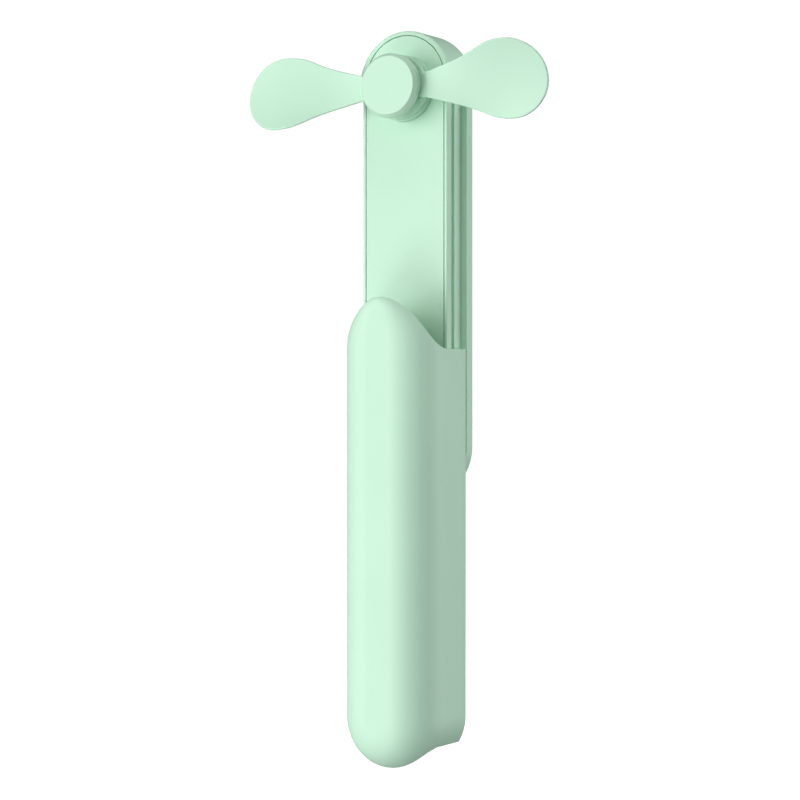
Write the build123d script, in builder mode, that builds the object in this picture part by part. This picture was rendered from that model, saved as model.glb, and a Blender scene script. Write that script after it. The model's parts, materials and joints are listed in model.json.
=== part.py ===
"""Pocket fan with two folding blades and a sliding cover, modelled open: cover down, blades spread.

Millimetres. +Z is up along the housing, +X is to the right seen from the front, and the front faces -Y.
The origin lies on the flat back face, at the centre of the housing's lower rounded end. A depth is a
distance in front of the back face, so a face at depth 6 lies at y = -6.
"""
import os
from math import radians, tan

from build123d import *

os.makedirs("parts", exist_ok=True)

# ---- Housing: a stadium seen from the front ----
half_width = 16.75  # half the width, and the radius of both rounded ends
arc_spacing = 117.5  # from the lower end-arc's centre up to the upper one's
flange_depth = 6.0  # back face to the front rim of the rear cover
body_depth = 16.9  # back face to the front of the housing
shell_wall = 1.5  # rear cover's floor and rim, and the housing's front wall
side_wall = 1.2  # housing wall beside the slots and channels
back_edge_radius = 2.8
head_drop = 0.95  # the head's outer arc is centred this far below the upper arc centre
end_edge_radius = 0.8  # rounding round the front of the full-width head and foot
small_edge_radius = 0.28
cut_margin = 1.0  # cutting shapes run this far past what they cut

# ---- Channel down each side, in which the sliding cover runs ----
cover_wall = 1.2
cover_gap = 0.2  # sliding cover to housing, on each side
rim_gap = 0.4  # back edge of the sliding cover to the rear cover's rim
lip_depth = 3.0  # the lip in front of the slot, measured back from the housing's front
lip_edge_radius = 0.2
slot_height = 3.2  # across the slot, front to back
slot_depth = 3.05  # from the lip's side to the floor of the slot
land_inset = 0.65  # how far the land behind the slot lies inside the lip
slot_high = arc_spacing - 4.0  # the slots run out through the foot at their lower ends
land_low = -4.0
foot_top = -9.2  # the full-width foot lies below this height

# ---- Front panel ----
panel_thickness = 1.2
panel_rim = 1.25  # from the panel's edge out to the lip's side
panel_groove = 0.35  # open line all round the panel

# ---- Sliding cover ----
cover_high = 31.5  # upper arc centre of the cover when it is open
travel = arc_spacing - cover_high  # fully open to fully closed
blade_room = 17.3  # from the housing's front to the cover's front
cover_front = body_depth + blade_room
shoulder_radius = 12.8  # rounding from the cover's sides to its front
rim_radius = 3.0  # rounding over the top of the cover
mouth_gap = 0.25  # mouth edge to the head's shoulder when the cover is closed
mouth_level = 1.6  # the mouth's edge stays level this far in front of the housing
mouth_low_pull = 3.7  # lower control point of the mouth's curve, behind the cover's front
mouth_high_pull = 6.7  # upper control point, behind the cover's front
mouth_climb = 11.5  # upper control point above the level edge
notch_edge = -8.9  # edge of the bottom notch, from the cover's lower arc centre
notch_level = 2.8  # the notch's edge stays level this far in front of the housing
notch_low_pull = 8.6  # first control point of the notch's curve, in front of the housing
notch_high_pull = 9.6  # second control point, in front of the housing
notch_drop = 3.1  # second control point below the level edge
notch_reach = 9.7  # where the curve leaves the cover, in front of the housing
rib_start = 26.0  # the two ribs inside the cover, from its lower arc centre
rib_end = 7.5  # and short of its upper one
rib_height = 1.1

# ---- Runners, one in each slot ----
runner_low = -3.7
runner_length = 34.0
runner_lip = 0.7  # thickness of the runner's web and lips
runner_reach = 2.1  # how far the runner stands off the slot's floor
slide_gap = 0.15  # runner to slot, and rib to runner

# ---- Rotor ----
hub_height = arc_spacing - 2.9
collar_radius = 10.6
collar_thickness = 2.3
rotor_gap = 0.3  # turning hub to fixed collar
hub_radius = 10.25
base_thickness = 2.3
blade_space = 3.4  # between hub base and hub cap
cap_thickness = 3.2
cap_chamfer = 1.0
cap_chamfer_depth = 1.3
boss_radius = 2.4
pin_offset = 6.0  # blade pins, to each side of the axis
pin_radius = 1.0
pin_clearance = 0.05
pin_grip = 1.5  # how far each pin sits in the base and in the cap
shaft_radius = 0.75
shaft_clearance = 0.04

# ---- Blades ----
blade_tip = 53.9  # from the rotor's axis to the tip
blade_widest = 41.0  # where along the radius the paddle is widest
blade_half_chord = half_width - 4.65  # the folded paddles lie inside the cover
blade_thickness = 1.0
blade_pitch = 17.5
blade_cup = 1.5  # how far the paddle's edges curl forward of its middle
blade_nest = 0.35  # right blade set back, left blade set forward, so that they fold past each other
blade_edge_radius = 0.35
eye_radius = 3.4
eye_clearance = 0.2
neck_half_chord = 5.2  # half the paddle's width where it leaves the hub
neck_distance = 16.0
throat_half_chord = 8.8  # and where it nears its full width
throat_distance = 28.0
sheet_overrun = 1.2  # the sheet that the paddle is cut from is this much wider

# ---- Motor ----
motor_radius = 8.0
motor_wall = 0.8
motor_back_space = 1.2  # behind the end cap, for the leads
cap_flange = 1.0
magnet_thickness = 1.0
armature_gap = 0.4
armature_slot_offset = 4.4
armature_slot = (4.0, 1.4)
nose_radius = 3.0
nose_length = 1.3
bearing_radius = 1.9
motor_screw_offset = 5.4

# ---- Electronics ----
button_height = 12.0  # the button's centre on the back
button_radius = 4.4
button_travel = 0.6
button_clearance = 0.2
window_height = 22.5
window_length = 6.0
window_width = 1.8
window_setback = 0.15
guide_size = (2.4, 1.2)
stem_radius = 1.3
flange_step = 0.9  # the button's hidden flange stands out this far
board_inset = 0.7  # board to the cavity's side
board_low_centre = -2.8
board_top = 27.0
board_drop = 4.6  # the board's back face behind the front wall
board_thickness = 1.0
chip_size = (4.0, 5.0)
chip_height = 1.2
chip_places = [(-3.5, 5.0), (3.5, 5.0), (0.0, 13.0)]
led_size = (1.6, 0.8)
led_height = 0.7
socket_width = 9.0
socket_height = 3.25
socket_length = 7.35
socket_wall = 0.3
socket_setback = 0.2  # mouth of the socket behind the end of the foot
tongue_size = (6.6, 0.7)
tongue_setback = 0.8
switch_size = 4.5
switch_body = 1.4
switch_nub = 0.6
switch_nub_radius = 1.1
battery_low = 33.0
battery_top_space = 22.5  # from the battery's top up to the upper arc centre
battery_side_space = 1.1
battery_edge_radius = 1.5
pad_thickness = 1.0
rear_pad_thickness = 1.9
pad_share = (0.75, 0.7)  # of the battery's width and length

# ---- Screws ----
boss_outer = 2.1
boss_gap = 0.05
front_boss_length = 2.0
screw_radius = 0.9
screw_head_radius = 1.6
screw_head = 0.9
screw_side_space = 0.2  # low bosses to the cavity's side; the middle ones have twice as much
low_screw_height = -1.0
mid_screw_height = arc_spacing - 17.0
top_screw_height = arc_spacing + half_width - 5.65
board_post_inset = 3.6  # from the board's edge
board_post_height = 21.0
small_screw_radius = 0.7
small_head_radius = 1.4
small_head = 0.7

# ---- Leads ----
lead_radius = 0.45
lead_pitch = 1.3  # centre to centre, where the two run side by side
lead_inset = 1.7  # motor leads to the wide cavity's side
lead_bend = 1.2
lead_start = (5.0, -2.0)  # where the first motor lead leaves the end cap, from the motor's axis
lead_shift = (-2.0, -4.5)  # from the first lead's start to the second's
lead_drop = 6.0  # height lost as the leads turn to the side, then again as they come forward
lead_rise = 4.0

# ---- Derived places ----
lip_half = half_width - cover_wall - cover_gap
land_half = lip_half - land_inset
slot_floor = lip_half - slot_depth
slot_front = body_depth - lip_depth
slot_back = slot_front - slot_height
panel_radius = lip_half - panel_rim
recess_floor = body_depth - panel_thickness
front_wall = recess_floor - shell_wall  # depth of the cavity's front
wide_cavity = slot_back - side_wall  # in front of this depth the slots narrow the cavity
cover_back = flange_depth + rim_gap
cover_low = -travel
mouth_edge = cover_high - mouth_gap
hub_back = body_depth + collar_thickness + rotor_gap
blade_back = hub_back + base_thickness
blade_front = blade_back + blade_space
cap_front = blade_front + cap_thickness
blade_plane = (blade_back + blade_front) / 2
slot_middle = (slot_front + slot_back) / 2
narrow_half = slot_floor - side_wall  # half the cavity's width between the slots
wide_half = land_half - side_wall  # and behind them
tray_half = land_half - side_wall / 2  # the rear cover's rim carries the housing's wall
low_screw_side = narrow_half - boss_outer - screw_side_space
mid_screw_side = low_screw_side - screw_side_space
board_half_width = narrow_half - board_inset
board_back = front_wall - board_drop
board_front = board_back + board_thickness
board_post_side = board_half_width - board_post_inset
socket_depth = board_front + socket_height / 2
socket_front = -half_width + socket_setback
battery_half_width = narrow_half - battery_side_space
battery_length = arc_spacing - battery_top_space - battery_low
battery_front = front_wall - pad_thickness
battery_back = shell_wall + rear_pad_thickness
battery_middle = battery_low + battery_length / 2
can_back = shell_wall + motor_back_space + cap_flange
motor_length = front_wall - can_back
screw_places = [
    (-low_screw_side, low_screw_height),
    (low_screw_side, low_screw_height),
    (-mid_screw_side, mid_screw_height),
    (mid_screw_side, mid_screw_height),
    (0, top_screw_height),
]
post_places = [(-board_post_side, board_post_height), (board_post_side, board_post_height)]
pin_places = [(-pin_offset, hub_height), (pin_offset, hub_height)]
motor_screw_places = [(-motor_screw_offset, hub_height), (motor_screw_offset, hub_height)]


def facing(depth):
    """A sketch plane that faces the front at this depth: its x is X and its y is Z."""
    return Plane.XZ.offset(depth)


def stadium(radius, drop=0):
    """Draw the housing's outline at this radius in the open sketch, its upper end lowered by drop."""
    with Locations((0, (arc_spacing - drop) / 2)):
        SlotCenterToCenter(arc_spacing - drop, 2 * radius, rotation=90)


def save(part, name):
    """Label a finished piece and write it as one STEP file."""
    part.label = name
    export_step(part, f"parts/{name}.step")


# ==== Rear cover: a shallow tray with the screw bosses ====
with BuildPart() as rear_cover:
    with BuildSketch(facing(0)):
        stadium(half_width, head_drop)
    extrude(amount=flange_depth)
    fillet(rear_cover.edges().group_by(Axis.Y)[-1], back_edge_radius)
    with BuildSketch(facing(shell_wall)):
        stadium(tray_half)
    extrude(amount=flange_depth - shell_wall, mode=Mode.SUBTRACT)
    boss_top = front_wall - front_boss_length - boss_gap
    with BuildSketch(facing(shell_wall)):
        with Locations(screw_places):
            Circle(boss_outer)
    extrude(amount=boss_top - shell_wall)
    with BuildSketch(facing(boss_top)):
        with Locations(screw_places):
            Circle(screw_radius)
    extrude(amount=shell_wall * 2 - boss_top, mode=Mode.SUBTRACT)
    with BuildSketch(facing(0)):
        with Locations((0, button_height)):
            Circle(button_radius + button_clearance)
        with Locations((0, window_height)):
            SlotOverall(window_length, window_width)
    extrude(amount=shell_wall, mode=Mode.SUBTRACT)
save(rear_cover.part, "rear_cover")

# ==== Front housing: channel-width shell with a full-width head and foot ====
with BuildPart() as front_housing:
    with BuildSketch(facing(flange_depth)):
        stadium(lip_half)
    extrude(amount=body_depth - flange_depth)
    fillet(front_housing.edges().group_by(Axis.Y)[0], lip_edge_radius)
    # head above the upper arc centre, turned from a profile with a rounded front corner
    head_centre = arc_spacing - head_drop
    with BuildSketch(Plane.XY.offset(head_centre)) as head_profile:
        with Locations((0, -flange_depth)):
            Rectangle(half_width, body_depth - flange_depth, align=(Align.MIN, Align.MAX))
        fillet(head_profile.vertices().sort_by(Axis.X).group_by(Axis.Y)[0][-1], end_edge_radius)
    revolve(axis=Axis((0, 0, head_centre), (0, -1, 0)), revolution_arc=180)
    with BuildSketch(facing(flange_depth)):
        with Locations((0, head_centre)):
            Rectangle(2 * half_width, head_drop, align=(Align.CENTER, Align.MIN))
            Rectangle(2 * lip_half, head_drop, align=(Align.CENTER, Align.MIN), mode=Mode.SUBTRACT)
    extrude(amount=body_depth - flange_depth, mode=Mode.SUBTRACT)
    # foot below the lower arc centre, cut off level below the cover's notch
    with BuildSketch(Plane.XY) as foot_profile:
        with Locations((0, -flange_depth)):
            Rectangle(half_width, body_depth - flange_depth, align=(Align.MIN, Align.MAX))
        fillet(foot_profile.vertices().sort_by(Axis.X).group_by(Axis.Y)[0][-1], end_edge_radius)
    revolve(axis=Axis((0, 0, 0), (0, 1, 0)), revolution_arc=180)
    with BuildSketch(facing(flange_depth)):
        with Locations((0, foot_top)):
            Rectangle(2 * half_width, -foot_top, align=(Align.CENTER, Align.MIN))
        Circle(lip_half, mode=Mode.SUBTRACT)
    extrude(amount=body_depth - flange_depth, mode=Mode.SUBTRACT)
    # slot and land down each straight side
    for side in (-1, 1):
        with BuildSketch(facing(slot_back)):
            with Locations((side * (slot_floor + half_width) / 2, slot_high)):
                Rectangle(half_width - slot_floor, slot_high + half_width, align=(Align.CENTER, Align.MAX))
        extrude(amount=slot_height, mode=Mode.SUBTRACT)
        with BuildSketch(facing(flange_depth)):
            with Locations((side * (land_half + half_width) / 2, slot_high)):
                Rectangle(half_width - land_half, slot_high - land_low, align=(Align.CENTER, Align.MAX))
        extrude(amount=slot_back - flange_depth, mode=Mode.SUBTRACT)
    # cavity: wide behind the slots and narrow between them
    with BuildSketch(facing(flange_depth)):
        stadium(wide_half)
    extrude(amount=wide_cavity - flange_depth, mode=Mode.SUBTRACT)
    with BuildSketch(facing(wide_cavity)):
        stadium(lip_half - side_wall)
        Rectangle(2 * narrow_half, 3 * arc_spacing, mode=Mode.INTERSECT)
    extrude(amount=front_wall - wide_cavity, mode=Mode.SUBTRACT)
    # front bosses and board posts
    with BuildSketch(facing(front_wall - front_boss_length)):
        with Locations(screw_places):
            Circle(boss_outer)
    extrude(amount=front_boss_length)
    with BuildSketch(facing(board_front)):
        with Locations(post_places):
            Circle(boss_outer)
    extrude(amount=front_wall - board_front)
    with BuildSketch(facing(board_front)):
        with Locations(post_places):
            Circle(small_screw_radius)
    extrude(amount=front_wall - board_front, mode=Mode.SUBTRACT)
    # recess for the front panel, then the holes that the panel hides
    with BuildSketch(facing(recess_floor)):
        stadium(panel_radius + panel_groove)
    extrude(amount=panel_thickness, mode=Mode.SUBTRACT)
    with BuildSketch(facing(recess_floor)):
        with Locations(screw_places):
            Circle(screw_head_radius + boss_gap)
    extrude(amount=-screw_head, mode=Mode.SUBTRACT)
    with BuildSketch(facing(recess_floor)):
        with Locations(screw_places):
            Circle(screw_radius + boss_gap)
        with Locations((0, hub_height)):
            Circle(nose_radius + boss_gap)
        with Locations(motor_screw_places):
            Circle(small_screw_radius + boss_gap)
    extrude(amount=-shell_wall - front_boss_length, mode=Mode.SUBTRACT)
    with BuildSketch(facing(recess_floor)):
        with Locations(motor_screw_places):
            Circle(small_head_radius + boss_gap)
    extrude(amount=-small_head, mode=Mode.SUBTRACT)
    # mouth of the charging socket in the foot
    with BuildSketch(Plane.XY.offset(-half_width)):
        with Locations((0, -socket_depth)):
            RectangleRounded(socket_width + 4 * boss_gap, socket_height + 4 * boss_gap, socket_height / 2)
    extrude(amount=half_width / 2, mode=Mode.SUBTRACT)
save(front_housing.part, "front_housing")

# ==== Front panel ====
with BuildPart() as front_panel:
    with BuildSketch(facing(recess_floor)):
        stadium(panel_radius)
    extrude(amount=panel_thickness)
    with BuildSketch(facing(recess_floor)):
        with Locations((0, hub_height)):
            Circle(nose_radius + 2 * boss_gap)
    extrude(amount=panel_thickness, mode=Mode.SUBTRACT)
save(front_panel.part, "front_panel")

# ==== Housing screws, hidden under the front panel ====
with BuildPart() as housing_screws:
    with BuildSketch(facing(recess_floor - boss_gap)):
        with Locations(screw_places):
            Circle(screw_head_radius)
    extrude(amount=boss_gap - screw_head)
    with BuildSketch(facing(recess_floor - screw_head)):
        with Locations(screw_places):
            Circle(screw_radius)
    extrude(amount=2 * shell_wall + screw_head + boss_gap - recess_floor)
save(housing_screws.part, "housing_screws")


# ==== Sliding cover: an open-backed shell, cut away at its mouth and its notch ====
def cover_form(inset):
    """The cover's closed outer shape, drawn this far inside its outer face and open towards the back."""
    half = half_width - inset
    shoulder = shoulder_radius - inset
    rim = rim_radius - inset
    front = cover_front - inset
    back = cover_back - inset
    # limits of the top: straight up to the arc centre, then a half-turn with a rounded front edge
    with BuildPart() as envelope:
        with BuildSketch(facing(back)):
            with Locations((0, cover_high)):
                Rectangle(2 * half, arc_spacing, align=(Align.CENTER, Align.MAX))
        extrude(amount=front - back)
        with BuildSketch(Plane.XY.offset(cover_high)) as top_profile:
            with Locations((0, -back)):
                Rectangle(half, front - back, align=(Align.MIN, Align.MAX))
            fillet(top_profile.vertices().sort_by(Axis.X).group_by(Axis.Y)[0][-1], rim)
        revolve(axis=Axis((0, 0, cover_high), (0, -1, 0)), revolution_arc=180)
    with BuildPart() as form:
        with BuildSketch(Plane.XY.offset(cover_low)) as section:
            with Locations((0, -back)):
                Rectangle(2 * half, front - back, align=(Align.CENTER, Align.MAX))
            fillet(section.vertices().group_by(Axis.Y)[0], shoulder)
        extrude(amount=arc_spacing + half_width)
        add(envelope.part, mode=Mode.INTERSECT)
        # rounded lower end: the right half of the same section, given a half-turn
        with BuildSketch(Plane.XY.offset(cover_low)) as half_section:
            with Locations((0, -back)):
                Rectangle(2 * half, front - back, align=(Align.CENTER, Align.MAX))
            fillet(half_section.vertices().group_by(Axis.Y)[0], shoulder)
            with Locations((0, -back)):
                Rectangle(half, front, align=(Align.MAX, Align.MAX), mode=Mode.SUBTRACT)
        revolve(axis=Axis((0, 0, cover_low), (0, 1, 0)), revolution_arc=180)
    return form.part


cover_outer = cover_form(0)
cover_inner = cover_form(cover_wall)
with BuildPart() as sliding_cover:
    add(cover_outer)
    add(cover_inner, mode=Mode.SUBTRACT)
    # mouth, seen from the side: level behind the shoulder, then an S up to the top of the front
    mouth_top = cover_high + half_width + cut_margin
    with BuildSketch(Plane.YZ.offset(-half_width)):
        with BuildLine():
            swoop_start = (-body_depth - mouth_level, mouth_edge)
            swoop_end = (-cover_front - mouth_gap, mouth_top)
            low_pull = (-cover_front + mouth_low_pull, mouth_edge)
            high_pull = (-cover_front + mouth_high_pull, mouth_edge + mouth_climb)
            Line((0, mouth_edge), swoop_start)
            Bezier(swoop_start, low_pull, high_pull, swoop_end)
            Line(swoop_end, (0, mouth_top))
            Line((0, mouth_top), (0, mouth_edge))
        make_face()
    extrude(amount=2 * half_width, mode=Mode.SUBTRACT)
    # notch: clears the housing's foot, then turns down to leave the rounded front
    notch_height = cover_low + notch_edge
    notch_low = cover_low - half_width - cut_margin
    with BuildSketch(Plane.YZ.offset(-half_width)):
        with BuildLine():
            notch_start = (-body_depth - notch_level, notch_height)
            notch_end = (-body_depth - notch_reach, notch_low)
            first_pull = (-body_depth - notch_low_pull, notch_height)
            second_pull = (-body_depth - notch_high_pull, notch_height - notch_drop)
            Line((0, notch_height), notch_start)
            Bezier(notch_start, first_pull, second_pull, notch_end)
            Line(notch_end, (0, notch_low))
            Line((0, notch_low), (0, notch_height))
        make_face()
    extrude(amount=2 * half_width, mode=Mode.SUBTRACT)
    # rib down the inside of each wall
    rib_tip = slot_floor + slide_gap + runner_lip + slide_gap
    for side in (-1, 1):
        with BuildSketch(Plane.XY.offset(cover_low + rib_start)):
            with Locations((side * rib_tip, -slot_middle)):
                inward = Align.MIN if side > 0 else Align.MAX
                Rectangle(half_width - cover_wall / 2 - rib_tip, rib_height, align=(inward, Align.CENTER))
        extrude(amount=travel + cover_high - rib_end - rib_start)
save(sliding_cover.part, "sliding_cover")

# ==== Runners: a channel strip in each slot, between the housing and the cover's ribs ====
for side, name in ((-1, "runner_left"), (1, "runner_right")):
    outward = Align.MIN if side > 0 else Align.MAX
    with BuildPart() as runner:
        with BuildSketch(Plane.XY.offset(runner_low)):
            with Locations((side * (slot_floor + slide_gap), -slot_middle)):
                Rectangle(runner_reach, slot_height - 2 * slide_gap, align=(outward, Align.CENTER))
            with Locations((side * (slot_floor + slide_gap + runner_lip), -slot_middle)):
                Rectangle(
                    runner_reach,
                    rib_height + 2 * slide_gap,
                    align=(outward, Align.CENTER),
                    mode=Mode.SUBTRACT,
                )
        extrude(amount=runner_length)
    save(runner.part, name)

# ==== Collar and rotor hub ====
with BuildPart() as motor_collar:
    with BuildSketch(facing(body_depth)):
        with Locations((0, hub_height)):
            Circle(collar_radius)
    extrude(amount=collar_thickness)
    fillet(motor_collar.edges().group_by(Axis.Y)[0], small_edge_radius)
    with BuildSketch(facing(recess_floor + boss_gap)):
        with Locations((0, hub_height)):
            Circle(nose_radius + boss_gap)
    extrude(amount=panel_thickness)
    with BuildSketch(facing(recess_floor)):
        with Locations((0, hub_height)):
            Circle(2 * shaft_radius)
    extrude(amount=panel_thickness + collar_thickness, mode=Mode.SUBTRACT)
save(motor_collar.part, "motor_collar")

with BuildPart() as hub_base:
    with BuildSketch(facing(hub_back)):
        with Locations((0, hub_height)):
            Circle(hub_radius)
    extrude(amount=base_thickness)
    fillet(hub_base.edges(), small_edge_radius)
    with BuildSketch(facing(blade_back)):
        with Locations((0, hub_height)):
            Circle(boss_radius)
    extrude(amount=blade_space)
    with BuildSketch(facing(blade_back)):
        with Locations(pin_places):
            Circle(pin_radius)
    extrude(amount=-pin_grip, mode=Mode.SUBTRACT)
    with BuildSketch(facing(hub_back)):
        with Locations((0, hub_height)):
            Circle(shaft_radius)
    extrude(amount=base_thickness + blade_space / 2, mode=Mode.SUBTRACT)
save(hub_base.part, "hub_base")

with BuildPart() as hub_cap:
    with BuildSketch(Plane.XY.offset(hub_height)) as cap_profile:
        with BuildLine():
            shoulder_depth = cap_front - cap_chamfer_depth
            Polyline(
                (0, -blade_front),
                (hub_radius, -blade_front),
                (hub_radius, -shoulder_depth),
                (hub_radius - cap_chamfer, -cap_front),
                (0, -cap_front),
                close=True,
            )
        make_face()
        fillet(cap_profile.vertices().sort_by(Axis.X)[-2:], cap_chamfer / 4)
        fillet(cap_profile.vertices().group_by(Axis.Y)[0].sort_by(Axis.X)[-1], cap_chamfer / 4)
    revolve(axis=Axis((0, 0, hub_height), (0, 1, 0)))
    with BuildSketch(facing(blade_front)):
        with Locations(pin_places):
            Circle(pin_radius)
    extrude(amount=pin_grip, mode=Mode.SUBTRACT)
save(hub_cap.part, "hub_cap")

for side, name in ((-1, "blade_pin_left"), (1, "blade_pin_right")):
    with BuildPart() as blade_pin:
        with BuildSketch(facing(blade_back - pin_grip)):
            with Locations((side * pin_offset, hub_height)):
                Circle(pin_radius)
        extrude(amount=blade_space + 2 * pin_grip)
    save(blade_pin.part, name)

with BuildPart() as motor_shaft:
    shaft_back = can_back - motor_wall / 2
    with BuildSketch(facing(shaft_back)):
        with Locations((0, hub_height)):
            Circle(shaft_radius)
    extrude(amount=blade_back + blade_space / 2 - shaft_back)
save(motor_shaft.part, "motor_shaft")

# ==== Blades: a paddle outline cut from a pitched, cupped and twisted sheet ====
# along the blade: distance from the rotor's axis, then the shares of pitch, cup and nesting offset there
blade_stations = [
    (2.0, 0.2, 0.05, 1.0),
    (14.5, 0.35, 0.1, 1.0),
    (27.0, 1.0, 0.7, 1.7),
    (42.0, 1.0, 1.0, 2.0),
    (58.0, 1.0, 1.0, 2.3),
]


def blade_form(setback):
    """The right-hand blade, pointing along +X, its root plane moved back by setback."""
    reach = blade_half_chord * sheet_overrun
    with BuildPart() as sheet:
        for distance, pitch_share, cup_share, nest_share in blade_stations:
            plane_depth = blade_plane - setback * nest_share
            slope = tan(radians(blade_pitch * pitch_share))
            cup = blade_cup * cup_share * (reach / blade_half_chord) ** 2
            with BuildSketch(Plane.YZ.offset(distance)):
                with BuildLine():
                    low = -plane_depth + slope * reach - cup
                    high = -plane_depth - slope * reach - cup
                    half = blade_thickness / 2
                    back = ThreePointArc(
                        (low + half, hub_height - reach),
                        (-plane_depth + half, hub_height),
                        (high + half, hub_height + reach),
                    )
                    front = ThreePointArc(
                        (low - half, hub_height - reach),
                        (-plane_depth - half, hub_height),
                        (high - half, hub_height + reach),
                    )
                    Line(back @ 0, front @ 0)
                    Line(back @ 1, front @ 1)
                make_face()
        loft()
    with BuildPart() as blade:
        with BuildSketch(facing(body_depth)):
            with BuildLine():
                upper = Spline(
                    (pin_offset, hub_height + eye_radius),
                    (neck_distance, hub_height + neck_half_chord),
                    (throat_distance, hub_height + throat_half_chord),
                    (blade_widest, hub_height + blade_half_chord),
                    tangents=[(1, 0.05), (1, 0)],
                )
                lower = Spline(
                    (pin_offset, hub_height - eye_radius),
                    (neck_distance, hub_height - neck_half_chord),
                    (throat_distance, hub_height - throat_half_chord),
                    (blade_widest, hub_height - blade_half_chord),
                    tangents=[(1, -0.05), (1, 0)],
                )
                EllipticalCenterArc(
                    (blade_widest, hub_height),
                    blade_tip - blade_widest,
                    blade_half_chord,
                    start_angle=-90,
                    arc_size=180,
                )
                Line(upper @ 0, lower @ 0)
            make_face()
        extrude(amount=cover_front - body_depth)
        add(sheet.part, mode=Mode.INTERSECT)
        rim = [edge for edge in blade.edges() if edge.length > blade_half_chord]
        fillet(rim, blade_edge_radius)
        with BuildSketch(facing(blade_back + eye_clearance)):
            with Locations((pin_offset, hub_height)):
                Circle(eye_radius)
        extrude(amount=blade_space - 2 * eye_clearance)
        with BuildSketch(facing(blade_back)):
            with Locations((pin_offset, hub_height)):
                Circle(pin_radius + pin_clearance)
        extrude(amount=blade_space, mode=Mode.SUBTRACT)
    return blade.part


save(blade_form(blade_nest), "blade_right")
turned_blade = blade_form(-blade_nest).rotate(Axis((0, 0, hub_height), (0, 1, 0)), 180)
save(turned_blade, "blade_left")

# ==== Motor ====
with BuildPart() as motor_can:
    with BuildSketch(facing(can_back)):
        with Locations((0, hub_height)):
            Circle(motor_radius)
    extrude(amount=motor_length)
    with BuildSketch(facing(front_wall)):
        with Locations((0, hub_height)):
            Circle(nose_radius)
    extrude(amount=nose_length)
    with BuildSketch(facing(can_back)):
        with Locations((0, hub_height)):
            Circle(motor_radius - motor_wall)
    extrude(amount=motor_length - motor_wall, mode=Mode.SUBTRACT)
    with BuildSketch(facing(can_back)):
        with Locations((0, hub_height)):
            Circle(bearing_radius)
        with Locations(motor_screw_places):
            Circle(small_screw_radius)
    extrude(amount=motor_length + nose_length, mode=Mode.SUBTRACT)
save(motor_can.part, "motor_can")

with BuildPart() as motor_magnets:
    with BuildSketch(facing(can_back + 2 * motor_wall)):
        with Locations((0, hub_height)):
            Circle(motor_radius - motor_wall)
            Circle(motor_radius - motor_wall - magnet_thickness, mode=Mode.SUBTRACT)
            Rectangle(2 * motor_radius, motor_radius / 2, mode=Mode.SUBTRACT)
    extrude(amount=motor_length - 4 * motor_wall)
save(motor_magnets.part, "motor_magnets")

with BuildPart() as motor_armature:
    with BuildSketch(facing(can_back + 3 * motor_wall)):
        with Locations((0, hub_height)):
            Circle(motor_radius - motor_wall - magnet_thickness - armature_gap)
            Circle(shaft_radius, mode=Mode.SUBTRACT)
            with PolarLocations(armature_slot_offset, 3):
                Rectangle(*armature_slot, mode=Mode.SUBTRACT)
    extrude(amount=motor_length - 6 * motor_wall)
save(motor_armature.part, "motor_armature")

with BuildPart() as motor_bearing:
    with BuildSketch(facing(front_wall - 2 * motor_wall)):
        with Locations((0, hub_height)):
            Circle(bearing_radius)
            Circle(shaft_radius + shaft_clearance, mode=Mode.SUBTRACT)
    extrude(amount=2 * motor_wall + nose_length)
save(motor_bearing.part, "motor_bearing")

with BuildPart() as motor_end_cap:
    with BuildSketch(facing(can_back - cap_flange)):
        with Locations((0, hub_height)):
            Circle(motor_radius)
    extrude(amount=cap_flange)
    with BuildSketch(facing(can_back)):
        with Locations((0, hub_height)):
            Circle(motor_radius - motor_wall)
    extrude(amount=motor_wall)
    with BuildSketch(facing(can_back - cap_flange)):
        with Locations((0, hub_height)):
            Circle(shaft_radius + shaft_clearance)
    extrude(amount=cap_flange + motor_wall, mode=Mode.SUBTRACT)
save(motor_end_cap.part, "motor_end_cap")

with BuildPart() as motor_screws:
    with BuildSketch(facing(recess_floor - boss_gap)):
        with Locations(motor_screw_places):
            Circle(small_head_radius)
    extrude(amount=boss_gap - small_head)
    with BuildSketch(facing(recess_floor - small_head)):
        with Locations(motor_screw_places):
            Circle(small_screw_radius)
    extrude(amount=small_head - shell_wall - motor_wall)
save(motor_screws.part, "motor_screws")

# ==== Battery between its two foam pads ====
with BuildPart() as battery_pack:
    with BuildSketch(facing(battery_front)):
        with Locations((0, battery_middle)):
            Rectangle(2 * battery_half_width, battery_length)
    extrude(amount=battery_back - battery_front)
    fillet(battery_pack.edges().filter_by(Axis.Z), battery_edge_radius)
save(battery_pack.part, "battery_pack")

pad_spans = (
    ("battery_pad_front", battery_front, front_wall),
    ("battery_pad_rear", shell_wall, battery_back),
)
for name, low, high in pad_spans:
    with BuildPart() as pad:
        with BuildSketch(facing(low)):
            with Locations((0, battery_middle)):
                Rectangle(2 * battery_half_width * pad_share[0], battery_length * pad_share[1])
        extrude(amount=high - low)
    save(pad.part, name)

# ==== Control board and what is soldered to it ====
with BuildPart() as control_board:
    with BuildSketch(facing(board_back)):
        with Locations((0, board_low_centre)):
            Circle(board_half_width)
            Rectangle(
                2 * board_half_width, board_top - board_low_centre, align=(Align.CENTER, Align.MIN)
            )
        with Locations(screw_places[:2]):
            Circle(boss_outer + 2 * slide_gap, mode=Mode.SUBTRACT)
        with Locations(post_places):
            Circle(small_screw_radius + boss_gap, mode=Mode.SUBTRACT)
    extrude(amount=board_thickness)
save(control_board.part, "control_board")

with BuildPart() as board_screws:
    with BuildSketch(facing(board_back)):
        with Locations(post_places):
            Circle(small_head_radius)
    extrude(amount=-small_head)
    with BuildSketch(facing(board_back)):
        with Locations(post_places):
            Circle(small_screw_radius)
    extrude(amount=2 * board_thickness)
save(board_screws.part, "board_screws")

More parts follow.
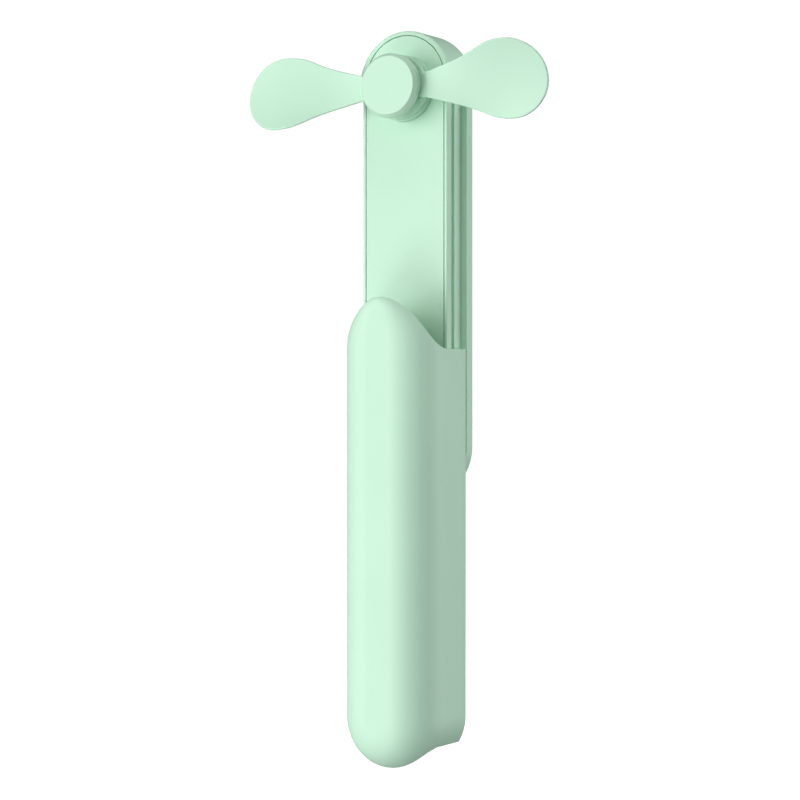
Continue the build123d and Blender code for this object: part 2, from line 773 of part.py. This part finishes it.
with BuildPart() as board_chips:
    with BuildSketch(facing(board_front)):
        with Locations(chip_places):
            Rectangle(*chip_size)
    extrude(amount=chip_height)
save(board_chips.part, "board_chips")

with BuildPart() as tact_switch:
    with BuildSketch(facing(board_back)):
        with Locations((0, button_height)):
            RectangleRounded(switch_size, switch_size, small_edge_radius)
    extrude(amount=-switch_body)
    with BuildSketch(facing(board_back - switch_body)):
        with Locations((0, button_height)):
            Circle(switch_nub_radius)
    extrude(amount=-switch_nub)
save(tact_switch.part, "tact_switch")

with BuildPart() as status_led:
    with BuildSketch(facing(board_back)):
        with Locations((0, window_height)):
            Rectangle(*led_size)
    extrude(amount=-led_height)
save(status_led.part, "status_led")

with BuildPart() as indicator_window:
    with BuildSketch(facing(window_setback)):
        with Locations((0, window_height)):
            SlotOverall(window_length - 2 * boss_gap, window_width - 2 * boss_gap)
    extrude(amount=shell_wall)
    with BuildSketch(facing(shell_wall)):
        with Locations((0, window_height)):
            Rectangle(*guide_size)
    extrude(amount=board_back - led_height - 2 * slide_gap - shell_wall)
save(indicator_window.part, "indicator_window")

# ==== Power button: a flush cap with a flange behind the cover's floor and a long stem ====
with BuildPart() as power_button:
    with BuildSketch(facing(window_setback)):
        with Locations((0, button_height)):
            Circle(button_radius)
    extrude(amount=shell_wall + slide_gap - window_setback)
    fillet(power_button.edges().group_by(Axis.Y)[-1], small_edge_radius)
    with BuildSketch(facing(shell_wall + slide_gap)):
        with Locations((0, button_height)):
            Circle(button_radius + flange_step)
    extrude(amount=flange_step)
    with BuildSketch(facing(shell_wall)):
        with Locations((0, button_height)):
            Circle(stem_radius)
    extrude(amount=board_back - switch_body - switch_nub - button_travel - boss_gap - shell_wall)
save(power_button.part, "power_button")

# ==== Charging socket: a thin steel shell with a tongue, its mouth in the foot ====
with BuildPart() as usb_socket:
    with BuildSketch(Plane.XY.offset(socket_front)):
        with Locations((0, -socket_depth)):
            RectangleRounded(socket_width, socket_height, socket_height / 2 - boss_gap)
    extrude(amount=socket_length)
    with BuildSketch(Plane.XY.offset(socket_front)):
        with Locations((0, -socket_depth)):
            RectangleRounded(
                socket_width - 2 * socket_wall,
                socket_height - 2 * socket_wall,
                socket_height / 2 - socket_wall - boss_gap,
            )
    extrude(amount=socket_length - 3 * socket_wall, mode=Mode.SUBTRACT)
    with BuildSketch(Plane.XY.offset(socket_front + tongue_setback)):
        with Locations((0, -socket_depth)):
            Rectangle(*tongue_size)
    extrude(amount=socket_length - tongue_setback - socket_wall)
save(usb_socket.part, "usb_socket")

# ==== Leads: straight runs with rounded corners, in the side space beside the battery ====
lead_side = wide_half - lead_inset
with BuildPart() as motor_leads:
    for turn in (0, 1):
        across = lead_start[0] + lead_shift[0] * turn
        depth = wide_cavity - 2 * lead_radius - lead_pitch * turn
        start_height = hub_height + lead_start[1] + lead_shift[1] * turn
        joint_side = board_half_width - lead_bend - turn
        joint_height = board_top - 2 - turn
        with BuildLine() as route:
            FilletPolyline(
                (across, -(can_back - cap_flange), start_height),
                (across, -(shell_wall + motor_back_space / 2), start_height),
                (lead_side, -(shell_wall + motor_back_space / 2), start_height - lead_drop),
                (lead_side, -depth, start_height - lead_drop - lead_rise),
                (lead_side, -depth, board_top + 1 - turn),
                (joint_side, -depth, joint_height),
                (joint_side, -board_back, joint_height),
                radius=lead_radius,
            )
        with BuildSketch(Plane(origin=route.line @ 0, z_dir=route.line % 0)):
            Circle(lead_radius)
        sweep(path=route.line)
save(motor_leads.part, "motor_leads")

with BuildPart() as battery_leads:
    for turn in (0, 1):
        across = -board_half_width + 2 * lead_bend + 2 * turn
        depth = board_back - 2 * lead_bend
        with BuildLine() as route:
            FilletPolyline(
                (across, -depth, battery_low),
                (across, -depth, board_top - 2),
                (across, -board_back, board_top - 2),
                radius=lead_bend,
            )
        with BuildSketch(Plane(origin=route.line @ 0, z_dir=route.line % 0)):
            Circle(lead_radius)
        sweep(path=route.line)
save(battery_leads.part, "battery_leads")
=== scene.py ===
"""Looks for the pocket fan: soft matt mint plastic on a plain pale ground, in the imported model's frame."""
import json
from math import asin, cos, pi, radians, sin, sqrt

import bmesh
import bpy
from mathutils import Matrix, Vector


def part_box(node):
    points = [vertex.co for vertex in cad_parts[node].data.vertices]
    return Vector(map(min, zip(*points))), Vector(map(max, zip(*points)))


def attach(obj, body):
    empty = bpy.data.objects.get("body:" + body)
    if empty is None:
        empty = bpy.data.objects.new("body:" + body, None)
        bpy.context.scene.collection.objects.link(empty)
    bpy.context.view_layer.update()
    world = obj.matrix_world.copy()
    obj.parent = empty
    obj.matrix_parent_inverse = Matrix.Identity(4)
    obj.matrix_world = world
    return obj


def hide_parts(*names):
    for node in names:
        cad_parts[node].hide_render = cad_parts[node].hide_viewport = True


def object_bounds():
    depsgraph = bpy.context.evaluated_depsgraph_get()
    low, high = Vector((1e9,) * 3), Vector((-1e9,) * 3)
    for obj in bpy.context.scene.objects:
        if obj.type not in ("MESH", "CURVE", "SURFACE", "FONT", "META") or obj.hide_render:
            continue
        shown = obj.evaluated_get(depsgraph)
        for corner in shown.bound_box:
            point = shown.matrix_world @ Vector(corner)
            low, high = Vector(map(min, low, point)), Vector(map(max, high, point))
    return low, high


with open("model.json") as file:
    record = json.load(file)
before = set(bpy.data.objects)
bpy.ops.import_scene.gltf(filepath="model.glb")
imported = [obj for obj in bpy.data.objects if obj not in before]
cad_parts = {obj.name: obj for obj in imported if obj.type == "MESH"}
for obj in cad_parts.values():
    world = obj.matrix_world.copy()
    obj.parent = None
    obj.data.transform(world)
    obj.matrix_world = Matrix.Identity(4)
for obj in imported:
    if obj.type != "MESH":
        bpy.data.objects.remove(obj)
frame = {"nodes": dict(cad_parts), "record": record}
cad_low, cad_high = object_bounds()
MM = 0.001

# ---- Colours, linear ----
MINT = (0.585, 0.875, 0.68)
MINT_DEEP = (0.54, 0.85, 0.64)
# painted shade: the runner's green is darkened to paint the shade of the side grooves it lies in
RUNNER_GREEN_WITH_PAINTED_SHADE = (0.30, 0.48, 0.37)
WINDOW_DULL = (0.80, 0.86, 0.83)
WINDOW_PALE = (0.88, 0.92, 0.90)
FLOOR_GREY = (0.9, 0.9, 0.9, 1)
WHITE = (1, 1, 1, 1)

# ---- Surface detail: scales in features per metre, heights in metres ----
FLOW_SCALE = 45
GRAIN_SCALE = 5200
LINE_SCALE = 900
CLOUD_SCALE = 2500
GRAIN_HEIGHT = 0.03 * MM
LINE_HEIGHT = 0.02 * MM
LINE_STRETCH = (1, 1, 30)  # the lines lie level and are fine along Z
FLOW_SHADE = 0.985  # the flow marks' brightness as a share of the plastic's
LINE_SHADE = 0.85
GRAIN_GLOSS = 0.05  # how far the grain moves the roughness, either way
LINE_SHINE = 0.06  # how far a metal's lines lower the roughness
LINE_DULLNESS = 0.08  # and raise it
BLEND_FROM, BLEND_TO = 0.35, 0.65  # the part of the noise over which two colours blend


# ==== Materials ====
def new_material(name):
    """A plain principled material: returns the material, its node tree and its shader."""
    material = bpy.data.materials.new(name)
    material.use_nodes = True
    tree = material.node_tree
    return material, tree, tree.nodes["Principled BSDF"]


def noise(tree, scale, detail=3.0, roughness=0.5):
    """Noise in the object's own metres; scale is in features per metre."""
    place = tree.nodes.new("ShaderNodeTexCoord")
    texture = tree.nodes.new("ShaderNodeTexNoise")
    texture.inputs["Scale"].default_value = scale
    texture.inputs["Detail"].default_value = detail
    texture.inputs["Roughness"].default_value = roughness
    tree.links.new(place.outputs["Object"], texture.inputs["Vector"])
    return texture.outputs["Fac"]


def line_noise(tree):
    """Noise drawn out into fine level lines."""
    place = tree.nodes.new("ShaderNodeTexCoord")
    mapping = tree.nodes.new("ShaderNodeMapping")
    mapping.inputs["Scale"].default_value = LINE_STRETCH
    texture = tree.nodes.new("ShaderNodeTexNoise")
    texture.inputs["Scale"].default_value = LINE_SCALE
    tree.links.new(place.outputs["Object"], mapping.inputs["Vector"])
    tree.links.new(mapping.outputs["Vector"], texture.inputs["Vector"])
    return texture.outputs["Fac"]


def spread(tree, value, low, high):
    """Map a 0..1 value on to a range."""
    mapping = tree.nodes.new("ShaderNodeMapRange")
    mapping.inputs["To Min"].default_value = low
    mapping.inputs["To Max"].default_value = high
    tree.links.new(value, mapping.inputs["Value"])
    return mapping.outputs["Result"]


def blend_colour(tree, value, first, second):
    """A colour between first and second, chosen by a 0..1 value."""
    ramp = tree.nodes.new("ShaderNodeValToRGB")
    ends = ramp.color_ramp.elements
    for end, position, colour in zip(ends, (BLEND_FROM, BLEND_TO), (first, second)):
        end.position = position
        end.color = (*colour, 1)
    tree.links.new(value, ramp.inputs["Fac"])
    return ramp.outputs["Color"]


def bump(tree, shader, height, strength, distance):
    """Raise the surface by a height value; distance in metres."""
    node = tree.nodes.new("ShaderNodeBump")
    node.inputs["Strength"].default_value = strength
    node.inputs["Distance"].default_value = distance
    tree.links.new(height, node.inputs["Height"])
    tree.links.new(node.outputs["Normal"], shader.inputs["Normal"])


def moulded_plastic(name, colour, roughness=0.5, grain=0.12):
    """Matt moulded plastic: fine spark-eroded grain, faint flow variation in colour and gloss."""
    material, tree, shader = new_material(name)
    darker = tuple(c * FLOW_SHADE for c in colour)
    flow = noise(tree, FLOW_SCALE, detail=2)
    tree.links.new(blend_colour(tree, flow, darker, colour), shader.inputs["Base Color"])
    fine = noise(tree, GRAIN_SCALE, detail=2, roughness=0.6)
    gloss = spread(tree, fine, roughness - GRAIN_GLOSS, roughness + GRAIN_GLOSS)
    tree.links.new(gloss, shader.inputs["Roughness"])
    bump(tree, shader, fine, strength=grain, distance=GRAIN_HEIGHT)
    shader.inputs["Specular IOR Level"].default_value = 0.35
    return material


def metal(name, colour, roughness):
    """Drawn or turned metal: fine level lines in colour, gloss and height."""
    material, tree, shader = new_material(name)
    darker = tuple(c * LINE_SHADE for c in colour)
    lines = line_noise(tree)
    tree.links.new(blend_colour(tree, lines, darker, colour), shader.inputs["Base Color"])
    gloss = spread(tree, lines, roughness - LINE_SHINE, roughness + LINE_DULLNESS)
    tree.links.new(gloss, shader.inputs["Roughness"])
    bump(tree, shader, lines, strength=0.1, distance=LINE_HEIGHT)
    shader.inputs["Metallic"].default_value = 1.0
    return material


def frosted_window(name):
    """Frosted light guide: pale, milky and a little translucent."""
    material, tree, shader = new_material(name)
    cloud = noise(tree, CLOUD_SCALE)
    colour = blend_colour(tree, cloud, WINDOW_DULL, WINDOW_PALE)
    tree.links.new(colour, shader.inputs["Base Color"])
    bump(tree, shader, cloud, strength=0.15, distance=GRAIN_HEIGHT)
    shader.inputs["Roughness"].default_value = 0.35
    shader.inputs["Transmission Weight"].default_value = 0.25
    return material


LOOKS = {
    "body_mint": lambda name: moulded_plastic(name, MINT),
    "cover_mint": lambda name: moulded_plastic(name, MINT, roughness=0.48),
    "hub_mint": lambda name: moulded_plastic(name, MINT, roughness=0.46),
    "blade_mint": lambda name: moulded_plastic(name, MINT, roughness=0.42, grain=0.08),
    "button_mint": lambda name: moulded_plastic(name, MINT_DEEP, roughness=0.4),
    # the runner's darkened green is painted shade for the side grooves
    "runner_plastic": lambda name: moulded_plastic(name, RUNNER_GREEN_WITH_PAINTED_SHADE, roughness=0.35),
    "black_plastic": lambda name: moulded_plastic(name, (0.02, 0.02, 0.022), roughness=0.5),
    "board": lambda name: moulded_plastic(name, (0.02, 0.16, 0.06), roughness=0.3),
    "foam": lambda name: moulded_plastic(name, (0.05, 0.05, 0.05), roughness=0.9, grain=0.6),
    "lead_sheath": lambda name: moulded_plastic(name, (0.5, 0.03, 0.03), roughness=0.5),
    "led": lambda name: moulded_plastic(name, (0.85, 0.85, 0.7), roughness=0.15),
    "window": frosted_window,
    "pin_steel": lambda name: metal(name, (0.62, 0.62, 0.63), roughness=0.22),
    "screw_steel": lambda name: metal(name, (0.55, 0.55, 0.56), roughness=0.32),
    "can_steel": lambda name: metal(name, (0.6, 0.6, 0.61), roughness=0.3),
    "socket_steel": lambda name: metal(name, (0.66, 0.66, 0.68), roughness=0.28),
    "magnet": lambda name: metal(name, (0.09, 0.09, 0.1), roughness=0.55),
    "armature": lambda name: metal(name, (0.28, 0.16, 0.09), roughness=0.45),
    "bearing_brass": lambda name: metal(name, (0.68, 0.5, 0.22), roughness=0.35),
    "cell_pouch": lambda name: metal(name, (0.62, 0.63, 0.66), roughness=0.38),
}


def dress_cad_nodes():
    """Give every CAD node the finished material of its slot; returns the materials by slot."""
    made = {slot: make(slot) for slot, make in LOOKS.items()}
    for entry in frame["record"]["subparts"]:
        node = frame["nodes"][entry["node"]]
        node.data.materials.clear()
        node.data.materials.append(made[entry["material_slot"]])
    return made


# ==== Sliding cover: a smooth shell with rounded rims, in place of the CAD one ====
# Millimetres; a depth is measured forward from the back face (y = -depth).
cover_low, cover_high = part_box("sliding_cover")
HALF_WIDTH = round(cover_high[0] / MM, 2)
BACK = round(-cover_high[1] / MM, 2)
FRONT = round(-cover_low[1] / MM, 2)
ARC_SPACING = 117.5  # between the centres of the rounded ends
HIGH_CENTRE = 31.5
LOW_CENTRE = HIGH_CENTRE - ARC_SPACING
SHOULDER = 12.8  # rounding from the sides to the front
BROW = 2.9  # rounding over the top of the front
WALL = 1.2
RIM = 0.42  # rounding of every open edge
FLAT_DIP = 0.4  # how far the flat's rows sink at its centre line, as a share of the top's height

# Edges in the side view: the depths and heights that steer a cubic curve, from its rear end.
MOUTH_CURVE = ((18.5, 31.25), (30.5, 31.25), (27.5, 42.75), (34.45, 49.25))
NOTCH_CURVE = ((19.7, -94.9), (25.5, -94.9), (26.5, -98.0), (26.6, -103.75))
CURVE_MARGIN = 2.0  # the evenly spaced rows end this far behind the mouth's curve

# One straight rib inside each wall.
RIB_TIP = 13.3
RIB_DEPTH = 12.3
RIB_THICKNESS = 1.1
RIB_LOW = -60.0
RIB_HIGH = 24.0

# Rows of the mesh, counted from the back to the front's centre line.
ROWS_BEHIND = 4
ROWS_TO_NOTCH_END = 44
ROWS_TO_MOUTH_END = 44
ROWS_TO_FRONT = 14
ROWS_FLAT = 4

# Columns of the mesh: each end's arc shares its columns with a short straight run beside it.
COLUMNS_LOWER = 30
COLUMNS_SIDE = 16
COLUMNS_UPPER = 34
STRAIGHT_LOWER = 8.0
STRAIGHT_UPPER = 14.0
LEAST_RADIUS = 4.0  # a narrower row spaces the columns of its lower arc as if it had this radius

CURVE_STEPS = 160
SLOPE_STEP = 0.002  # of a curve's whole run, for its direction at a point
RIM_STEPS = 4
HALVINGS = 50  # of the bracket round a root
MERGE_DISTANCE = 0.0008
SLIVER_LENGTH = 0.0005
SHARP_ANGLE = 50  # degrees; a gentler edge is shaded smooth


def bezier(points, t):
    """A point on a cubic curve in the side view."""
    shares = ((1 - t) ** 3, 3 * (1 - t) ** 2 * t, 3 * (1 - t) * t * t, t**3)
    return [sum(share * point[axis] for share, point in zip(shares, points)) for axis in (0, 1)]


def edge_height(points, trim, into):
    """A function from depth to an edge's height, for a curve that is set back into the wall by trim.

    The wall lies below the curve where into is -1 and above it where into is 1.
    """
    line = [(0.0, points[0][1] + into * trim)]
    for step in range(CURVE_STEPS + 1):
        t = step / CURVE_STEPS
        here = bezier(points, t)
        before = bezier(points, max(t - SLOPE_STEP, 0))
        after = bezier(points, min(t + SLOPE_STEP, 1))
        run = (after[0] - before[0], after[1] - before[1])
        length = sqrt(run[0] ** 2 + run[1] ** 2)
        line.append((here[0] - into * run[1] / length * trim, here[1] + into * run[0] / length * trim))

    def height(depth):
        for low, high in zip(line, line[1:]):
            if depth <= high[0]:
                return low[1] + (high[1] - low[1]) * (depth - low[0]) / (high[0] - low[0])
        low, high = line[-2:]
        return high[1] + (high[1] - low[1]) * (depth - high[0]) / (high[0] - low[0])

    return height


def round_off(full, front, radius, depth):
    """A half-size that is full until depth nears the front, then rounds off by radius."""
    inside = depth - (front - radius)
    if inside <= 0:
        return full
    return full - radius + sqrt(max(radius**2 - inside**2, 0))


def find_root(function, low, high):
    """Where a function that is positive at low and negative at high crosses zero."""
    for _ in range(HALVINGS):
        middle = (low + high) / 2
        if function(middle) > 0:
            low = middle
        else:
            high = middle
    return (low + high) / 2


def cover_points(inset, trim):
    """The right half of one skin of the cover: rows from back to front, each from its bottom to its top.

    The skin lies inset below the outer surface, and its open edges are set back by trim.
    """
    half = HALF_WIDTH - inset
    front = FRONT - inset
    mouth = edge_height(MOUTH_CURVE, trim, -1)
    notch = edge_height(NOTCH_CURVE, trim, 1)

    def across(depth):
        return round_off(half, front, SHOULDER - inset, depth)

    def above(depth):
        return round_off(half, front, BROW - inset, depth)

    start = BACK + trim
    curving = MOUTH_CURVE[0][0] - CURVE_MARGIN
    notch_end = find_root(lambda d: notch(d) - LOW_CENTRE + across(d), NOTCH_CURVE[0][0], front)
    mouth_end = find_root(lambda d: HIGH_CENTRE + above(d) - mouth(d), notch_end, front)
    depths = [start + (curving - start) * i / ROWS_BEHIND for i in range(ROWS_BEHIND)]
    for i in range(ROWS_TO_NOTCH_END):
        depths.append(curving + (notch_end - curving) * sin(pi / 2 * i / ROWS_TO_NOTCH_END))
    for i in range(ROWS_TO_MOUTH_END):
        depths.append(notch_end + (mouth_end - notch_end) * (1 - cos(pi * i / ROWS_TO_MOUTH_END)) / 2)
    for i in range(ROWS_TO_FRONT + 1):
        depths.append(mouth_end + (front - mouth_end) * sin(pi / 2 * i / ROWS_TO_FRONT))
    rows = [row_points(across(d), above(d), d, mouth(d), notch(d)) for d in depths]
    for i in range(1, ROWS_FLAT + 1):
        share = 1 - i / ROWS_FLAT
        sunk = above(front) * (1 - FLAT_DIP + FLAT_DIP * share)
        rows.append(row_points(across(front) * share, sunk, front))
    return rows


def row_points(across, above, depth, mouth=None, notch=None):
    """One row of the cover, from its bottom to its top, cut at the heights of the mouth and the notch."""
    turn_low = pi / 2
    if notch is not None and notch > LOW_CENTRE - across:
        turn_low = asin((LOW_CENTRE - notch) / across)
    turn_high = pi / 2
    straight_high = STRAIGHT_UPPER
    if mouth is not None and mouth <= HIGH_CENTRE:
        turn_high = 0.0
        straight_high += mouth - HIGH_CENTRE
    elif mouth is not None and mouth < HIGH_CENTRE + above:
        turn_high = asin((mouth - HIGH_CENTRE) / above)

    points = []
    spacing_radius = max(across, LEAST_RADIUS)
    low_arc = turn_low * spacing_radius
    for i in range(COLUMNS_LOWER):
        run = (low_arc + STRAIGHT_LOWER) * i / COLUMNS_LOWER
        if run < low_arc:
            angle = run / spacing_radius - turn_low
            points.append((across * cos(angle), depth, LOW_CENTRE + across * sin(angle)))
        else:
            points.append((across, depth, LOW_CENTRE + run - low_arc))
    side_run = ARC_SPACING - STRAIGHT_LOWER - STRAIGHT_UPPER
    for i in range(COLUMNS_SIDE):
        points.append((across, depth, LOW_CENTRE + STRAIGHT_LOWER + side_run * i / COLUMNS_SIDE))
    mean_radius = (across + above) / 2
    high_arc = turn_high * mean_radius
    for i in range(COLUMNS_UPPER + 1):
        run = (straight_high + high_arc) * i / COLUMNS_UPPER
        if run <= straight_high:
            points.append((across, depth, HIGH_CENTRE - STRAIGHT_UPPER + run))
        else:
            angle = (run - straight_high) / mean_radius
            points.append((across * cos(angle), depth, HIGH_CENTRE + above * sin(angle)))
    return points


def rim_loop(rows):
    """The open edge of a half skin: up the notch's edge, along the back and up the mouth's edge."""
    notch_rows = ROWS_BEHIND + ROWS_TO_NOTCH_END
    mouth_rows = notch_rows + ROWS_TO_MOUTH_END
    loop = [rows[i][0] for i in range(notch_rows, 0, -1)]
    loop += rows[0]
    loop += [rows[i][-1] for i in range(1, mouth_rows + 1)]
    return loop


def place_row(mesh, points, side):
    """Vertices for points in millimetres, on the right half (side 1) or mirrored to the left (-1)."""
    return [mesh.verts.new((side * across * MM, -depth * MM, high * MM)) for across, depth, high in points]


def join_rows(mesh, rows):
    """Faces between each row of vertices and the next."""
    for first, second in zip(rows, rows[1:]):
        for i in range(len(first) - 1):
            mesh.faces.new((first[i], first[i + 1], second[i + 1], second[i]))


def add_skins(mesh, side):
    """The outer and the inner surface of one half."""
    for inset in (0.0, WALL):
        join_rows(mesh, [place_row(mesh, row, side) for row in cover_points(inset, RIM)])


def add_rim(mesh, side):
    """The open edge of one half, rounded from the outer surface over to the inner one."""
    steps = []
    for i in range(RIM_STEPS + 1):
        angle = pi / 2 * i / RIM_STEPS
        steps.append((RIM * (1 - cos(angle)), RIM * (1 - sin(angle))))
    steps += [(WALL - inset, trim) for inset, trim in reversed(steps)]
    join_rows(mesh, [place_row(mesh, rim_loop(cover_points(inset, trim)), side) for inset, trim in steps])


def add_rib(mesh, side):
    """The rib inside one wall, sunk halfway into the wall."""
    root = HALF_WIDTH - WALL / 2
    corners = bmesh.ops.create_cube(mesh, size=1)["verts"]
    for corner in corners:
        corner.co = Vector((
            side * ((RIB_TIP + root) / 2 + corner.co.x * (root - RIB_TIP)) * MM,
            (-RIB_DEPTH + corner.co.y * RIB_THICKNESS) * MM,
            ((RIB_LOW + RIB_HIGH) / 2 + corner.co.z * (RIB_HIGH - RIB_LOW)) * MM,
        ))
    if side < 0:
        bmesh.ops.reverse_faces(mesh, faces=list({face for corner in corners for face in corner.link_faces}))


def make_cover(material):
    """Build the cover's skins, rims and ribs as one mesh, riding with the CAD cover."""
    mesh = bmesh.new()
    for side in (1, -1):
        add_skins(mesh, side)
        add_rim(mesh, side)
    bmesh.ops.remove_doubles(mesh, verts=mesh.verts, dist=MERGE_DISTANCE * MM)
    bmesh.ops.dissolve_degenerate(mesh, edges=mesh.edges, dist=SLIVER_LENGTH * MM)
    bmesh.ops.recalc_face_normals(mesh, faces=mesh.faces)
    for side in (1, -1):
        add_rib(mesh, side)
    data = bpy.data.meshes.new("sliding_cover_shell")
    mesh.to_mesh(data)
    mesh.free()
    for face in data.polygons:
        face.use_smooth = True
    data.set_sharp_from_angle(angle=radians(SHARP_ANGLE))
    data.materials.append(material)
    cover = bpy.data.objects.new("sliding_cover_shell", data)
    bpy.context.scene.collection.objects.link(cover)
    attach(cover, "cover")
    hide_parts("sliding_cover")


# ==== Stage, light and camera ====
FLOOR_SIZE = 40
FLOOR_GAP = 0.5 * MM
SURROUND = 1.05  # strength of the white that the camera sees
AMBIENT = 0.05  # strength of the white that lights the fan

LIGHT_TARGET = Vector((0, -20 * MM, 20 * MM))
LIGHT_DISTANCE = 1.2
# Name, azimuth and elevation in degrees, width in metres, power in watts.
LIGHTS = (
    ("key", -40, 0, 1.0, 10.5),
    ("front_fill", 0, 18, 0.9, 3.4),
    ("right_high", 60, 35, 0.6, 1.6),
    ("under", -20, -40, 0.6, 5.0),
    ("back_right", 125, 0, 1.1, 8.8),
    ("top", 40, 70, 0.6, 3.0),
)


def make_floor():
    """A plain pale floor below the fan, bright enough by itself to end without a horizon."""
    material, _, shader = new_material("pale_floor")
    shader.inputs["Base Color"].default_value = FLOOR_GREY
    shader.inputs["Roughness"].default_value = 0.9
    shader.inputs["Emission Color"].default_value = WHITE
    shader.inputs["Emission Strength"].default_value = 1.0
    bpy.ops.mesh.primitive_plane_add(size=FLOOR_SIZE, location=(0, 0, cad_low[2] - FLOOR_GAP))
    floor = bpy.context.object
    floor.name = "floor"
    floor.data.materials.append(material)
    floor.visible_diffuse = False
    floor.visible_glossy = False
    floor.visible_shadow = False


def make_surround():
    """A white surround for the camera, which gives the fan only a faint even light."""
    world = bpy.data.worlds.new("surround")
    bpy.context.scene.world = world
    world.use_nodes = True
    tree = world.node_tree
    tree.nodes.clear()
    output = tree.nodes.new("ShaderNodeOutputWorld")
    choose = tree.nodes.new("ShaderNodeMixShader")
    path = tree.nodes.new("ShaderNodeLightPath")
    tree.links.new(path.outputs["Is Camera Ray"], choose.inputs["Fac"])
    for socket, strength in ((1, AMBIENT), (2, SURROUND)):
        white = tree.nodes.new("ShaderNodeBackground")
        white.inputs["Color"].default_value = WHITE
        white.inputs["Strength"].default_value = strength
        tree.links.new(white.outputs["Background"], choose.inputs[socket])
    tree.links.new(choose.outputs["Shader"], output.inputs["Surface"])


def add_light(name, azimuth, elevation, size, power):
    """A square softbox round the fan; azimuth 0 is straight in front (-Y), positive towards +X."""
    around = radians(azimuth)
    up = radians(elevation)
    away = Vector((sin(around) * cos(up), -cos(around) * cos(up), sin(up)))
    light = bpy.data.lights.new(name, "AREA")
    light.shape = "SQUARE"
    light.size = size
    light.energy = power
    thing = bpy.data.objects.new(name, light)
    thing.location = LIGHT_TARGET + away * LIGHT_DISTANCE
    thing.rotation_euler = away.to_track_quat("Z", "Y").to_euler()
    bpy.context.scene.collection.objects.link(thing)


def make_camera():
    """Level camera, turned to see the front and the right side."""
    turn = radians(29.27)
    distance = 762 * MM
    aside = -1.5 * MM
    front_plane = -16.9 * MM
    height = 15.0 * MM
    camera = bpy.data.cameras.new("camera")
    camera.lens = 107
    camera.sensor_width = 36
    thing = bpy.data.objects.new("camera", camera)
    thing.location = (
        sin(turn) * distance + cos(turn) * aside,
        front_plane - cos(turn) * distance + sin(turn) * aside,
        height,
    )
    thing.rotation_euler = (pi / 2, 0, turn)
    bpy.context.scene.collection.objects.link(thing)
    bpy.context.scene.camera = thing


materials = dress_cad_nodes()
make_cover(materials["cover_mint"])
make_floor()
make_surround()
for settings in LIGHTS:
    add_light(*settings)
make_camera()
bpy.context.scene.view_settings.view_transform = "Standard"
